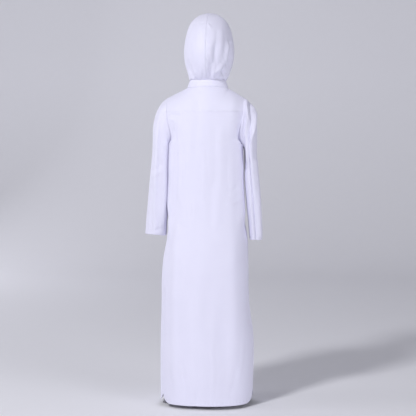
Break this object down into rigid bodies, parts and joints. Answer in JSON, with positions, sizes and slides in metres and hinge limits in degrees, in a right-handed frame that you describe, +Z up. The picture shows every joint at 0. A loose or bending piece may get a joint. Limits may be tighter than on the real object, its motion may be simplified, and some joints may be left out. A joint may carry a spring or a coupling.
{
  "type": "hooded thobe robe",
  "caption": "Child-sized ankle-length white hooded robe, worn form, with stand collar, back yoke, long set-in sleeves and side slits.",
  "frame": {"origin": "middle of the neck base, level with the top of the shoulders, where the robe is held up", "axes": "+Z up along the robe's length, front faces -Y, the robe's left sleeve is at +X"},
  "size_m": [0.3956, 0.2619, 1.2996],
  "materials": {
    "cloth": "matte",
    "button": "satin"
  },
  "bodies": {
    "root": {"back": "cloth", "front": "cloth", "yoke_back": "cloth", "sleeve_left": "cloth", "sleeve_right": "cloth", "hood_left": "cloth", "hood_right": "cloth", "collar": "cloth", "placket_over": "cloth", "placket_under": "cloth", "button_collar": "button", "button_1": "button", "button_2": "button", "button_3": "button"}
  },
  "joints": []
}
